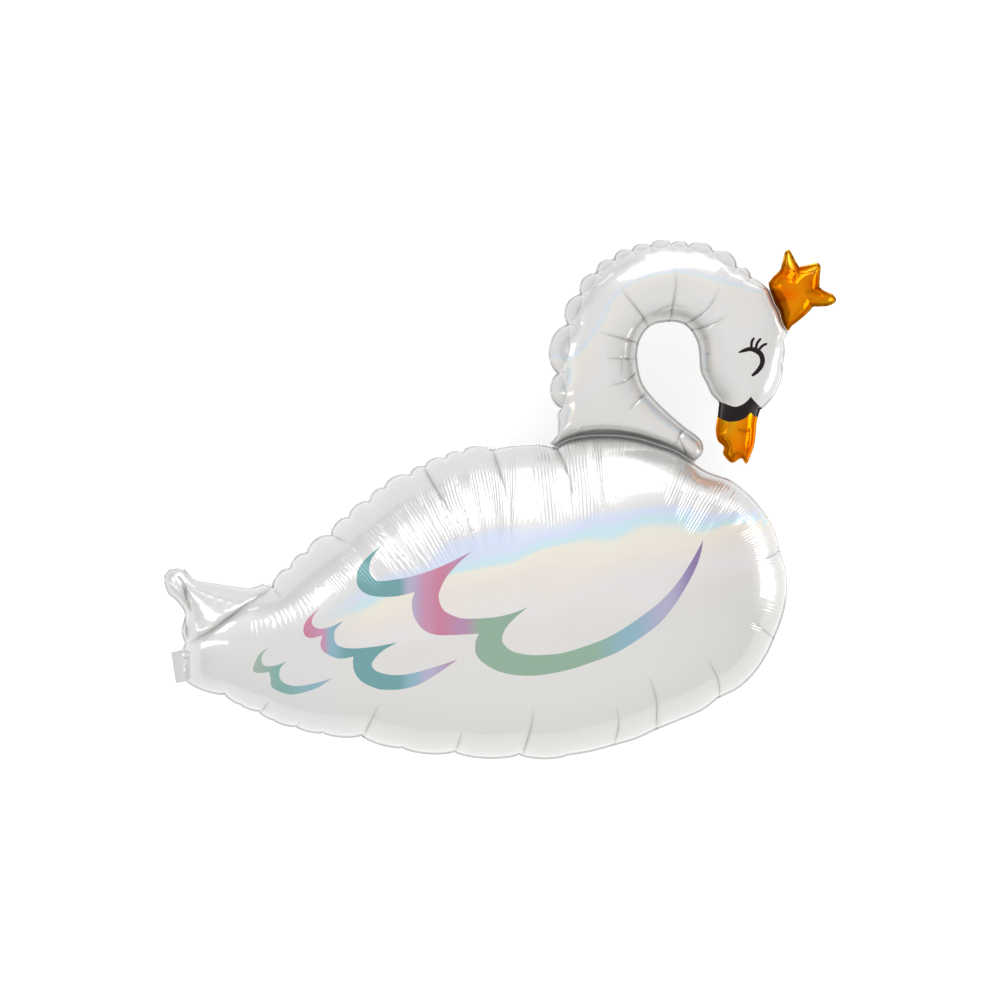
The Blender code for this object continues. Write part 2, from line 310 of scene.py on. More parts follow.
def even_noise(points: np.ndarray, wavelength: float, seed: int, waves: int = 14,
               spread: tuple[float, float] = (0.7, 1.4), height: float = 0.9) -> np.ndarray:
    """Sum plane waves of about one wavelength in random directions.

    Args:
        points: Flat points, one in each row.
        wavelength: Distance from crest to crest.
        seed: Start of the random draws.
        waves: How many waves are summed.
        spread: Shortest and longest wave as shares of the wavelength.
        height: Share that keeps most of the sum between -1 and 1.

    Returns:
        A height for each point, mostly between -1 and 1.
    """
    draws = np.random.default_rng(seed)
    turns, phases = draws.uniform(0, 2 * math.pi, (2, waves))
    lengths = wavelength * draws.uniform(*spread, waves)
    total = np.zeros(len(points))
    for turn, phase, length in zip(turns, phases, lengths):
        across = points[:, 0] * math.cos(turn) + points[:, 1] * math.sin(turn)
        total += np.sin(2 * math.pi * across / length + phase)
    return total / math.sqrt(waves) * height


def skin_rise(points: np.ndarray, triangles: np.ndarray, held: np.ndarray) -> np.ndarray:
    """Raise an evenly loaded skin over flat triangles.

    The rise is a power of the solution of Poisson's equation, found by conjugate gradients.

    Args:
        points: Flat points, one in each row.
        triangles: Three point numbers in each row.
        held: Which points stay down.

    Returns:
        Each point's rise as a share of the highest.
    """
    pairs, weights, load = [], [], np.zeros(len(points))
    for corner in range(3):
        a, b, c = (triangles[:, (corner + k) % 3] for k in range(3))
        to_b, to_c = points[b] - points[a], points[c] - points[a]
        area = np.abs(to_b[:, 0] * to_c[:, 1] - to_b[:, 1] * to_c[:, 0]) / 2
        pairs.append(np.column_stack((b, c)))
        weights.append((to_b * to_c).sum(1) / (4 * np.maximum(area, LEAST_AREA)))
        load += np.bincount(a, area / 3, len(points))
    (first, second), weight = np.vstack(pairs).T, np.concatenate(weights)
    diagonal = np.bincount(first, weight, len(points)) + np.bincount(second, weight, len(points))
    free = ~held
    scale = np.where(free, 1 / np.maximum(diagonal, LEAST_PULL), 0)

    def pull(x: np.ndarray) -> np.ndarray:
        """Give the skin's pull at each free point."""
        near = np.bincount(first, weight * x[second], len(points))
        near += np.bincount(second, weight * x[first], len(points))
        return np.where(free, diagonal * x - near, 0)

    height = np.zeros(len(points))
    rest = np.where(free, load, 0)
    step = scale * rest
    energy = rest @ step
    for _ in range(MOST_STEPS):
        pulled = pull(step)
        size = energy / max(step @ pulled, LEAST_WORK)
        height += size * step
        rest -= size * pulled
        if rest @ rest < AT_REST * (load @ load):
            break
        eased = scale * rest
        energy, before = rest @ eased, energy
        step = eased + step * energy / before
    height = np.maximum(height, 0) ** FULLNESS
    return height / height.max()


def press_creases(points: np.ndarray, creases: list[Crease]) -> tuple[np.ndarray, np.ndarray]:
    """Add up how far the creases lower each point and how much shade is painted in them.

    Args:
        points: Flat points, one in each row.
        creases: The creases, in shares of the length.

    Returns:
        The drop of each point in metres, and the shade painted on it for lying deep in a fold, from 0 to 1.
    """
    drop, painted_shade = np.zeros(len(points)), np.zeros(len(points))
    for crease in creases:
        line = np.array(smooth_curve(placed(crease.line), CREASE_STEP))
        reach = CREASE_REACH * crease.width
        near = np.all((points > line.min(0) - reach) & (points < line.max(0) + reach), axis=1)
        if near.any():
            away, way = nearest_on_line(points[near], line, closed=False)
            total = np.linalg.norm(np.diff(line, axis=0), axis=1).sum()
            share = np.clip(way / total, 0, 1)
            fade = np.sin(math.pi * share) ** EVEN_FADE if crease.even else (1 - share) ** TAPERED_FADE
            press = fade * np.exp(-away / crease.width)
            drop[near] += crease.depth * press
            painted_shade[near] = np.maximum(painted_shade[near], press * min(1, max(0, crease.depth) / FULL_FOLD))
    return drop, painted_shade


@dataclass
class Foil:
    """One blown-up foil of a chamber, as flat points, triangles and heights.

    A depth is a share of the foil's height where its comment says so, a shade is a share of the darkest
    painted shade, and the rest is in metres.
    """

    outline: np.ndarray
    thickness: float
    creases: list[Crease]
    patches: list[Patch] = field(default_factory=list)
    flat_zone: np.ndarray | None = None
    fine: bool = True

    # How far the points stand apart.
    grid_step: float = 0.0042
    grid_room: float = 0.6
    rings: tuple[float, ...] = (0.0012, 0.0028, 0.005, 0.008, 0.0118)
    coarse_ring: float = 0.003
    ring_room: float = 0.4
    least_ring: float = 0.002
    crease_room: float = 0.0007
    crease_sides: tuple[float, ...] = (0, 0.5, -0.5, 1.1, -1.1, 2.2, -2.2)
    foot_sides: tuple[float, ...] = (0.0004, -0.0004, 0.0014, -0.0014)
    weld_room: float = 0.001
    print_room: float = 0.0008
    same_point: float = 1e-7
    held_within: float = 1e-5

    # Gathers square to the weld, whose depth is a share of the height, and the slow waves of the whole foil.
    gather_depth: float = 0.04
    gather_length: float = 0.012
    gather_spacing: float = 0.0125
    gather_wander: float = 2.2
    gather_drift: float = 0.07
    gather_seed: int = 3
    wave_height: float = 0.0006
    wave_length: float = 0.085
    wave_calm: float = 0.03
    wave_seed: int = 7
    comb_smoothing: int = 41

    # Slack by the flat zone and the deepest crease, as shares of the height, then pockets and steep welds.
    slack: float = 0.75
    slack_length: float = 0.008
    deepest: float = 0.7
    pockets: list[Curve] = field(default_factory=list)
    pocket_depth: float = 0.004
    pocket_slope: float = 0.004
    steep_lines: list[Curve] = field(default_factory=list)
    steep_reach: float = 0.045
    steepness: float = 0.55

    # Painted shades along the weld, the joint with another chamber, the rim and the pockets.
    weld_shade: float = 0.28
    weld_reach: float = 0.0012
    joint_shade: float = 0.25
    joint_reach: float = 0.002
    rim_shade: float = 0.12
    rim_reach: float = 0.006
    pocket_shade: float = 0.22
    foot_shade: float = 0.3
    foot_reach: float = 0.0008

    weld: np.ndarray = field(init=False)
    rim: np.ndarray = field(init=False)
    points: np.ndarray = field(init=False)
    triangles: np.ndarray = field(init=False)
    finishes: np.ndarray = field(init=False)
    heights: np.ndarray = field(init=False)
    inwards: np.ndarray = field(init=False)
    along: np.ndarray = field(init=False)
    # The shade painted on each point, from 0 to 1.
    painted_shade: np.ndarray = field(init=False)

    def __post_init__(self) -> None:
        """Triangulate the foil, tell its print apart and blow it up."""
        self.weld = inset(self.outline, SEAM_WIDTH)
        self.triangulate()
        self.blow_up()

    def patch_lines(self) -> list[np.ndarray]:
        """Give each printed patch's closed line in metres."""
        lines = []
        for patch in self.patches:
            runs = [smooth_curve(placed(run), PRINT_STEP) for run in patch.runs]
            lines.append(closed_outline(*runs))
        return lines

    def crease_points(self) -> np.ndarray:
        """Give points along the middle of each crease and down both its flanks."""
        found = []
        for foot in self.pockets:
            for side in self.foot_sides:
                found += moved_sideways(foot, side)
        for crease in self.creases:
            middle = smooth_curve(placed(crease.line), PRINT_STEP)
            for side in self.crease_sides:
                found += moved_sideways(middle, side * crease.width)
        return np.array(found)

    def fill(self, fixed: np.ndarray) -> np.ndarray:
        """Choose points inside the weld.

        Args:
            fixed: Points that are there already.

        Returns:
            New points, none of them crowded.
        """
        step = self.grid_step
        batches = [(self.crease_points(), self.crease_room)] if self.fine and self.creases else []
        for distance in self.rings:
            if distance < self.coarse_ring or self.fine:
                batches.append((inset(self.weld, distance), self.ring_room * max(distance, self.least_ring)))
        low, high = self.weld.min(0), self.weld.max(0)
        rows = np.arange(low[1], high[1], step * math.sqrt(3) / 2)
        columns = np.arange(low[0], high[0], step)
        grid = [np.column_stack((columns + step / 2 * (n % 2), np.full(len(columns), y)))
                for n, y in enumerate(rows)]
        batches.append((np.vstack(grid), self.grid_room * step))
        kept = fixed
        for batch, room in batches:
            batch = batch[inside(batch, self.weld)]
            batch = batch[nearest_on_line(batch, self.weld)[0] > self.weld_room]
            kept = np.vstack((kept, uncrowded(batch, kept, room)))
        return kept[len(fixed):]

    def triangulate(self) -> None:
        """Fill the outline with triangles whose edges follow the weld and the print."""
        loops, fixed = [], [self.outline, self.weld]
        count = len(self.outline)
        for start, size in ((0, count), (count, len(self.weld))):
            loops += [(start + n, start + (n + 1) % size) for n in range(size)]
        used = count + len(self.weld)
        lines = self.patch_lines()
        for line in lines:
            clear = inside(line, self.outline) & (nearest_on_line(line, self.outline)[0] > self.print_room)
            numbers = np.cumsum(clear) - 1 + used
            following = np.roll(np.arange(len(line)), -1)
            loops += [(int(numbers[n]), int(numbers[m])) for n, m in enumerate(following)
                      if clear[n] and clear[m]]
            fixed.append(line[clear])
            used += int(clear.sum())
        fixed = np.vstack(fixed)
        points = np.vstack((fixed, self.fill(fixed)))
        corners = [tuple(p) for p in points]
        flat, _, triangles, origins, _, _ = delaunay_2d_cdt(corners, loops, [], 1, self.same_point)
        self.points = np.array([tuple(p) for p in flat])
        triangles = np.array(triangles)
        self.rim = np.array([bool(o) and min(o) < count for o in origins])
        self.triangles = triangles[~self.rim[triangles].all(1)]
        middles = self.points[self.triangles].mean(1)
        self.finishes = np.zeros(len(self.triangles), int)
        for patch, line in zip(self.patches, lines):
            self.finishes[inside(middles, line)] = patch.finish.value

    def blow_up(self) -> None:
        """Raise the foil, press in creases and gathers, let it wave, and paint shade in folds and at welds.
        """
        away, _ = nearest_on_line(self.points, self.weld)
        _, self.along = nearest_on_line(self.points, smoothed(self.outline, self.comb_smoothing))
        self.inwards = np.where(inside(self.points, self.weld), away, 0)
        held = self.rim | (self.inwards < self.held_within)
        slack = np.zeros(len(self.points))
        if self.flat_zone is not None:
            held |= inside(self.points, self.flat_zone)
            slack = np.exp(-nearest_on_line(self.points, self.flat_zone)[0] / self.slack_length)
        rise = skin_rise(self.points, self.triangles, held) * (1 - self.slack * slack)
        drop, self.painted_shade = press_creases(self.points, self.creases)
        self.shade(self.weld_shade * np.exp(-((away / self.weld_reach) ** 2)))
        self.shade(self.rim_shade * np.exp(-self.inwards / self.rim_reach))
        for line in self.steep_lines:
            beside, _ = nearest_on_line(self.points, np.array(line), closed=False)
            rise **= 1 - self.steepness * np.exp(-((beside / self.steep_reach) ** 2))
            self.shade(self.joint_shade * np.exp(-((beside / self.joint_reach) ** 2)))
        half_seam = SEAM_THICKNESS / 2
        tall = (self.thickness / 2 - half_seam) * rise
        wander = self.gather_wander * even_noise(self.points, self.gather_drift, self.gather_seed)
        pleats = 0.5 + 0.5 * np.sin(2 * math.pi * self.along / self.gather_spacing + wander)
        tall *= 1 - self.gather_depth * np.exp(-self.inwards / self.gather_length) * pleats
        drop += self.sink_pockets()
        tall -= np.minimum(drop, self.deepest * tall)
        calm = np.clip(self.inwards / self.wave_calm, 0, 1) * ~held
        tall += self.wave_height * calm * even_noise(self.points, self.wave_length, self.wave_seed)
        self.heights = half_seam + np.maximum(tall, 0) * ~held
        self.heights[self.rim] = 0

    def shade(self, shade: np.ndarray) -> None:
        """Paint shade on each point, at least this dark."""
        self.painted_shade = np.maximum(self.painted_shade, shade)

    def sink_pockets(self) -> np.ndarray:
        """Lower the small pockets along the weld up to a sharp step at the foot of each, and paint shade on
        them.

        Returns:
            The drop of each point in metres.
        """
        drop = np.zeros(len(self.points))
        for foot in self.pockets:
            line = np.array(foot)
            chord = line[-1] - line[0]
            outwards = np.array((-chord[1], chord[0]))
            within = inside(self.points, np.vstack((line, line[-1] + outwards, line[0] + outwards)))
            away, _ = nearest_on_line(self.points[within], line, closed=False)
            inwards = self.inwards[within]
            share = inwards / (inwards + away + LEAST_LENGTH)
            drop[within] = self.pocket_depth * (1 - np.exp(-((inwards / self.pocket_slope) ** 2)))
            shade = np.zeros(len(self.points))
            shade[within] = self.pocket_shade * share + self.foot_shade * np.exp(-away / self.foot_reach)
            self.shade(shade)
        return drop


def uncrowded(batch: np.ndarray, kept: np.ndarray, room: float) -> np.ndarray:
    """Leave out the points that lie too near earlier ones or one another.

    Args:
        batch: Points to choose from.
        kept: Points that stay.
        room: Least distance between two points.

    Returns:
        The points of the batch that have room.
    """
    cells = {}
    for x, y in kept:
        cells.setdefault((int(x // room), int(y // room)), []).append((x, y))
    chosen = []
    for x, y in batch:
        column, row = int(x // room), int(y // room)
        near = [p for i in (-1, 0, 1) for j in (-1, 0, 1) for p in cells.get((column + i, row + j), ())]
        if all((x - px) ** 2 + (y - py) ** 2 >= room * room for px, py in near):
            chosen.append((x, y))
            cells.setdefault((column, row), []).append((x, y))
    return np.array(chosen).reshape(-1, 2)


@dataclass(frozen=True)
class Shader:
    """A Principled material under construction, with short ways to add nodes."""

    material: bpy.types.Material

    @classmethod
    def named(cls, name: str) -> "Shader":
        """Start a new material of that name."""
        material = bpy.data.materials.new(name)
        material.use_nodes = True
        return cls(material)

    @property
    def surface(self) -> bpy.types.Node:
        """Give the Principled node."""
        return self.material.node_tree.nodes["Principled BSDF"]

    def set(self, **values: object) -> None:
        """Set inputs of the Principled node by name, with underscores for spaces."""
        for key, value in values.items():
            self.surface.inputs[key.replace("_", " ")].default_value = value

    def place(self, kind: str = "Object") -> bpy.types.NodeSocket:
        """Give a texture coordinate."""
        return self.node("ShaderNodeTexCoord").outputs[kind]

    def attribute(self, name: str) -> bpy.types.NodeSocket:
        """Give a value that the mesh holds at each point."""
        return self.node("ShaderNodeAttribute", attribute_name=name).outputs["Fac"]

    def node(self, kind: str, **values: object) -> bpy.types.Node:
        """Add a node.

        Args:
            kind: The node's type name.
            values: Properties by name, or inputs by name or number where a key starts with "in_".

        Returns:
            The new node.
        """
        made = self.material.node_tree.nodes.new(kind)
        for key, value in values.items():
            if key.startswith("in_"):
                name = key[3:]
                made.inputs[int(name) if name.isdigit() else name.replace("_", " ")].default_value = value
            else:
                setattr(made, key, value)
        return made

    def link(self, source: bpy.types.NodeSocket, target: bpy.types.NodeSocket) -> None:
        """Join two sockets."""
        self.material.node_tree.links.new(source, target)

    def maths(self, operation: str, *values: object) -> bpy.types.NodeSocket:
        """Add a Math node fed by numbers or sockets.

        Args:
            operation: The node's operation.
            values: A number or a socket for each input.

        Returns:
            The node's result.
        """
        made = self.node("ShaderNodeMath", operation=operation)
        for socket, value in zip(made.inputs, values):
            if isinstance(value, bpy.types.NodeSocket):
                self.link(value, socket)
            else:
                socket.default_value = value
        return made.outputs[0]

    def noise(self, scale: float, detail: float) -> bpy.types.NodeSocket:
        """Give a noise that lies still on the piece."""
        made = self.node("ShaderNodeTexNoise", in_Scale=scale, in_Detail=detail)
        self.link(self.place(), made.inputs["Vector"])
        return made.outputs["Fac"]

    def span(self, source: bpy.types.NodeSocket, limits: tuple[float, float], least: float = 0.0,
             kind: str = "SMOOTHSTEP") -> bpy.types.NodeSocket:
        """Add a node that turns the way between two limits into a share.

        Args:
            source: What the node reads.
            limits: The values that give the least share and a share of 1.
            least: The least share.
            kind: The node's interpolation type.

        Returns:
            The share.
        """
        made = self.node("ShaderNodeMapRange", interpolation_type=kind, in_From_Min=limits[0],
                         in_From_Max=limits[1], in_To_Min=least)
        self.link(source, made.inputs["Value"])
        return made.outputs[0]

    def ramp(self, source: bpy.types.NodeSocket,
             stops: Sequence[tuple[float, Colour]]) -> bpy.types.NodeSocket:
        """Add a colour ramp.

        Args:
            source: What the ramp reads, from 0 to 1.
            stops: Pairs of a place and a colour of three numbers.

        Returns:
            The ramp's colour.
        """
        made = self.node("ShaderNodeValToRGB")
        made.color_ramp.interpolation = "EASE"
        elements = made.color_ramp.elements
        while len(elements) < len(stops):
            elements.new(0.5)
        for element, (place, colour) in zip(elements, stops):
            element.position = place
            element.color = (*colour, 1)
        self.link(source, made.inputs[0])
        return made.outputs[0]

    def mix(self, share: object, first: object, second: object, blend: str = "MIX") -> bpy.types.NodeSocket:
        """Mix two colours.

        Args:
            share: How much of the second, a number or a socket.
            first: A colour or a socket.
            second: A colour or a socket.
            blend: The node's blend type.

        Returns:
            The mixed colour.
        """
        made = self.node("ShaderNodeMix", data_type="RGBA", blend_type=blend)
        for socket, value in ((made.inputs[0], share), (made.inputs[6], first), (made.inputs[7], second)):
            if isinstance(value, bpy.types.NodeSocket):
                self.link(value, socket)
            else:
                socket.default_value = value if socket == made.inputs[0] else (*value, 1)
        return made.outputs[2]


@dataclass(frozen=True)
class Film:
    """A blown-up film: its gloss, the shade painted in its folds, and the fine comb of gathers across it."""

    roughness: float
    metallic: float
    coat: float = 1.0
    coat_roughness: float = 0.03
    coat_ior: float = 2.0
    comb_period: float = 0.0046
    comb_height: float = 0.00056
    comb_drift: float = 5.0
    drift_scale: float = 14.0
    drift_detail: float = 2.0
    bunch_scale: float = 45.0
    bunch_edges: tuple[float, float] = (0.38, 0.62)
    bunch_least: float = 0.15
    # How strong the painted shade in folds and along welds is, and its dark colour.
    fold_shade: float = 0.95
    painted_shade_colour: Colour = (0.10, 0.09, 0.08)

    def dress(self, shader: Shader) -> None:
        """Set the gloss, the painted shade and the comb on a material.

        Args:
            shader: The material to change.
        """
        shader.set(Roughness=self.roughness, Metallic=self.metallic, Coat_Weight=self.coat,
                   Coat_Roughness=self.coat_roughness, Coat_IOR=self.coat_ior)
        self.shade_folds(shader)
        if self.comb_height > 0:
            self.add_comb(shader)

    def shade_folds(self, shader: Shader) -> None:
        """Paint shade into the colour deep in folds and along the weld, rim, joints and pockets.

        Args:
            shader: The material to change, its colour already linked.
        """
        socket = shader.surface.inputs["Base Color"]
        plain = socket.links[0].from_socket
        share = shader.maths("MULTIPLY", shader.attribute("painted_shade"), self.fold_shade)
        shader.link(shader.mix(share, plain, self.painted_shade_colour), socket)

    def add_comb(self, shader: Shader) -> None:
        """Add fine ridges that run square to the weld.

        Args:
            shader: The material to change.
        """
        along = shader.attribute("along")
        drift = shader.maths("MULTIPLY", shader.noise(self.drift_scale, self.drift_detail), self.comb_drift)
        phase = shader.maths("ADD", shader.maths("MULTIPLY", along, math.pi / self.comb_period), drift)
        bunches = shader.node("ShaderNodeTexNoise", noise_dimensions="1D", in_Scale=self.bunch_scale,
                              in_Detail=1.0)
        shader.link(along, bunches.inputs["W"])
        share = shader.span(bunches.outputs[0], self.bunch_edges, self.bunch_least)
        height = shader.maths("MULTIPLY", shader.attribute("comb"), share)
        ridges = shader.maths("MULTIPLY", shader.maths("ABSOLUTE", shader.maths("SINE", phase)), height)
        bump = shader.node("ShaderNodeBump", in_Strength=1.0, in_Distance=self.comb_height)
        shader.link(ridges, bump.inputs["Height"])
        for name in ("Normal", "Coat Normal"):
            shader.link(bump.outputs[0], shader.surface.inputs[name])


# The painted rainbow reflection pairs a lean of the surface, from 0 to 1, with the colour painted there.
PALE = (0.555, 0.55, 0.54)
RAINBOW = [
    (0.20, (0.56, 0.55, 0.53)), (0.38, (0.57, 0.55, 0.53)), (0.49, (0.62, 0.60, 0.59)),
    (0.56, (0.66, 0.60, 0.55)), (0.615, (0.70, 0.62, 0.54)), (0.66, (0.68, 0.65, 0.54)),
    (0.695, (0.42, 0.62, 0.68)), (0.74, (0.48, 0.55, 0.72)), (0.80, PALE)]


@dataclass(frozen=True)
class PearlFoil:
    """Pale film with a rainbow reflection painted into its colour where the surface leans."""

    name: str = "pearl_foil"
    # How strongly the rainbow reflection is painted in, how it wanders, and where along the length it starts.
    bloom: float = 0.9
    bloom_way: tuple[float, float, float] = (-0.35, 0.94, 0.0)
    bloom_drift: float = 0.04
    bloom_start: tuple[float, float] = (-0.25, -0.15)
    haze_scale: float = 4.0
    haze_detail: float = 3.0
    film: Film = Film(roughness=0.34, metallic=0.35)

    def bloom_colour(self, shader: Shader) -> bpy.types.NodeSocket:
        """Give the pale colour with a painted rainbow reflection that changes with the lean of the surface.

        Args:
            shader: The material to add to.

        Returns:
            The colour's socket.
        """
        tilt = shader.node("ShaderNodeVectorMath", operation="DOT_PRODUCT", in_1=self.bloom_way)
        shader.link(shader.place("Normal"), tilt.inputs[0])
        haze = shader.maths("SUBTRACT", shader.noise(self.haze_scale, self.haze_detail), 0.5)
        lean = shader.maths("ADD", tilt.outputs["Value"], shader.maths("MULTIPLY", haze, self.bloom_drift))
        across = shader.node("ShaderNodeSeparateXYZ")
        shader.link(shader.place(), across.inputs[0])
        share = shader.maths("MULTIPLY", shader.span(across.outputs["X"], self.bloom_start), self.bloom)
        return shader.mix(share, PALE, shader.ramp(shader.maths("ADD", lean, 0.5), RAINBOW))

    def material(self) -> bpy.types.Material:
        """Build the material."""
        shader = Shader.named(self.name)
        shader.link(self.bloom_colour(shader), shader.surface.inputs["Base Color"])
        self.film.dress(shader)
        return shader.material


@dataclass(frozen=True)
class FeatherInk:
    """Printed feathers whose colour runs from left to right."""

    name: str
    stops: tuple[tuple[float, Colour], ...]
    film: Film = Film(roughness=0.34, metallic=0.25, coat=0.28)

    def material(self) -> bpy.types.Material:
        """Build the material."""
        shader = Shader.named(self.name)
        place = shader.node("ShaderNodeSeparateXYZ")
        shader.link(shader.place(), place.inputs[0])
        first, last = self.stops[0][0], self.stops[-1][0]
        across = shader.span(place.outputs["X"], (first * SHARE, last * SHARE), kind="LINEAR")
        stops = [((x - first) / (last - first), colour) for x, colour in self.stops]
        shader.link(shader.ramp(across, stops), shader.surface.inputs["Base Color"])
        self.film.dress(shader)
        return shader.material


# Each run of the print pairs places along the length with the colours there.
GREEN, TEAL, SKY, VIOLET = (0.21, 0.34, 0.245), (0.10, 0.275, 0.29), (0.20, 0.36, 0.44), (0.36, 0.34, 0.48)
PINK, ROSE, MAUVE, PURPLE = (0.48, 0.21, 0.34), (0.48, 0.155, 0.25), (0.38, 0.20, 0.34), (0.20, 0.13, 0.31)
PALE_GREEN, SEA_GREEN = (0.28, 0.37, 0.30), (0.16, 0.33, 0.31)
SMALL_RUN = ((-364, PALE_GREEN), (-320, SEA_GREEN), (-267, SKY), (-245, VIOLET))
MIDDLE_RUN = ((-289, ROSE), (-262, PINK), (-248, SKY), (-222, TEAL), (-150, TEAL), (-128, SKY),
              (-105, VIOLET), (-62, MAUVE))
LARGE_RUN = ((-211, TEAL), (-150, TEAL), (-132, VIOLET), (-108, PINK), (-88, ROSE), (-55, MAUVE),
             (-25, GREEN), (130, GREEN), (190, SKY), (245, VIOLET), (290, PURPLE), (299, PURPLE))


@dataclass(frozen=True)
class BlackInk:
    """Near-black print."""

    name: str = "black_ink"
    colour: Colour = (0.006, 0.003, 0.003)
    speck_scale: float = 60.0
    roughness: float = 0.4
    gloss: float = 0.15

    def material(self) -> bpy.types.Material:
        """Build the material."""
        shader = Shader.named(self.name)
        speck = shader.node("ShaderNodeTexNoise", in_Scale=self.speck_scale)
        colour = shader.mix(speck.outputs["Fac"], self.colour, tuple(2 * c for c in self.colour))
        shader.link(colour, shader.surface.inputs["Base Color"])
        shader.set(Roughness=self.roughness, Specular_IOR_Level=self.gloss)
        return shader.material


@dataclass(frozen=True)
class GoldFoil:
    """Orange gold film, painted lighter and more yellow far from its heart as a painted highlight."""

    name: str = "gold_foil"
    heart: Point | None = None
    yellow_from: tuple[float, float] = (0.044, 0.062)
    yellow: Colour = (0.80, 0.40, 0.03)
    edge: Colour = (0.80, 0.35, 0.02)
    haze_scale: float = 22.0
    haze_detail: float = 3.0
    tones: tuple[tuple[float, Colour], ...] = ((0.32, (0.64, 0.12, 0.001)), (0.5, (0.61, 0.185, 0.002)),
                                               (0.66, (0.52, 0.26, 0.006)))
    # Its painted shade in folds and along edges is dark brown.
    film: Film = Film(roughness=0.16, metallic=1.0, coat=0.0, comb_height=0.0, painted_shade_colour=(0.13, 0.03, 0.0))

    def material(self) -> bpy.types.Material:
        """Build the material."""
        shader = Shader.named(self.name)
        colour = shader.ramp(shader.noise(self.haze_scale, self.haze_detail), self.tones)
        # The spike tips are painted yellower, a painted highlight.
        if self.heart:
            middle = (*placed([self.heart])[0], 0)
            away = shader.node("ShaderNodeVectorMath", operation="DISTANCE", in_1=middle)
            shader.link(shader.place(), away.inputs[0])
            colour = shader.mix(shader.span(away.outputs["Value"], self.yellow_from), colour, self.yellow)
        shader.link(colour, shader.surface.inputs["Base Color"])
        shader.set(Specular_Tint=(*self.edge, 1))
        self.film.dress(shader)
        return shader.material


@dataclass
class Chamber:
    """A welded chamber of two foils, made from its flat outline."""

    name: str
    node: str
    thickness: float
    outline: np.ndarray
    creases: list[Crease]
    patches: list[Patch] = field(default_factory=list)
    flat_zone: np.ndarray | None = None
    gathers: list[Gather] = field(default_factory=list)
    foil_values: dict = field(default_factory=dict)
    back_step: float = 0.009
    rim_gap: float = 1e-5

    def mesh(self) -> bpy.types.Mesh:
        """Join the front foil and a plainer back foil along their rim.

        Returns:
            One closed mesh with a material number on each face.
        """
        front = Foil(self.outline, self.thickness, self.creases, self.patches, self.flat_zone,
                     **self.foil_values)
        back = Foil(self.outline, self.thickness, self.creases, [], self.flat_zone, fine=False,
                    grid_step=self.back_step, wave_height=0.0)
        below = np.maximum(-back.heights, -SEAM_HEIGHT)
        vertices = np.vstack((np.column_stack((front.points, front.heights)),
                              np.column_stack((back.points, below))))
        faces = np.vstack((front.triangles, back.triangles[:, ::-1] + len(front.points)))
        mesh = bpy.data.meshes.new(self.name)
        mesh.from_pydata(vertices.tolist(), [], faces.tolist())
        finishes = np.concatenate((front.finishes, np.zeros(len(back.triangles), int)))
        mesh.polygons.foreach_set("material_index", finishes)
        # One of these values is the shade painted in folds, along welds and rims and in pockets.
        for label, ours in (("along", np.concatenate((front.along, back.along))),
                            ("painted_shade", np.concatenate((front.painted_shade, back.painted_shade))),
                            ("comb", np.concatenate((self.comb(front), np.zeros(len(back.points)))))):
            mesh.attributes.new(label, "FLOAT", "POINT").data.foreach_set("value", ours.astype(np.float32))
        work = bmesh.new()
        work.from_mesh(mesh)
        bmesh.ops.remove_doubles(work, verts=[v for v in work.verts if v.co.z == 0], dist=self.rim_gap)
        bmesh.ops.delete(work, geom=[v for v in work.verts if not v.link_faces], context="VERTS")
        if sum(f.normal.z * f.calc_area() for f in work.faces if f.calc_center_median().z > 0) < 0:
            bmesh.ops.reverse_faces(work, faces=work.faces)
        for edge in work.edges:
            edge.smooth = any(v.co.z != 0 for v in edge.verts)
        work.to_mesh(mesh)
        work.free()
        mesh.shade_smooth()
        return mesh

    def comb(self, foil: Foil) -> np.ndarray:
        """Tell how strongly the comb of fine gathers shows at each point of the front foil.

        Args:
            foil: The front foil.

        Returns:
            A share from 0 to 1 for each point.
        """
        share = np.zeros(len(foil.points))
        for gather in self.gathers:
            away, _ = nearest_on_line(foil.points, np.array(placed(gather.line)), closed=False)
            share += gather.strength * np.exp(-((away / gather.half_width) ** 4))
        return np.clip(share, 0, 1)

    def build(self, materials: list[bpy.types.Material]) -> bpy.types.Object:
        """Make the piece, dress it and put it in the model.

        Args:
            materials: One material for each member of Finish, in order.

        Returns:
            The finished piece.
        """
        piece = bpy.data.objects.new(self.name, self.mesh())
        for material in materials:
            piece.data.materials.append(material)
        piece.location.z = SEAM_HEIGHT
        bpy.context.scene.collection.objects.link(piece)
        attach(piece, "root")
        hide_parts(self.node)
        return piece


# The outlines in thousandths of the length. Each run starts where the one before it ends.
TAIL = [(-468, -212), (-473, -194), (-468, -169), (-479, -151), (-493, -138), (-499, -117), (-494, -105),
        (-481, -100), (-469, -101), (-460, -111), (-445, -118), (-418, -122), (-392, -126), (-368, -128),
        (-349, -123), (-338, -128)]
BACK_NOTCHES = [(-338, -128), (-312, -100), (-287, -77), (-251, -51), (-225, -24), (-194, 0), (-172, 20),
                (-134, 39), (-111, 52), (-82, 64), (-55, 73), (-13, 76)]
BACK = [(-13, 76), (12, 81), (45, 84), (67, 82), (83, 78)]
NECK_WELD = [(83, 78), (92, 85), (108, 91), (131, 95), (154, 96), (178, 95), (205, 91), (231, 83),
             (257, 74), (273, 65), (288, 55)]
BREAST_TOP = [(288, 55), (303, 45), (320, 38), (338, 32), (356, 20), (374, 4), (390, -15), (404, -37),
              (411, -58), (415, -76)]
BREAST = [(415, -76), (423, -101), (426, -128), (424, -154), (417, -181), (407, -206)]
BREAST_UNDER = [(407, -206), (396, -230), (377, -258), (353, -280), (323, -295)]
BELLY_FRONT = [(323, -295), (301, -312), (267, -327), (230, -342)]
BELLY = [(230, -342), (202, -355), (168, -365)]
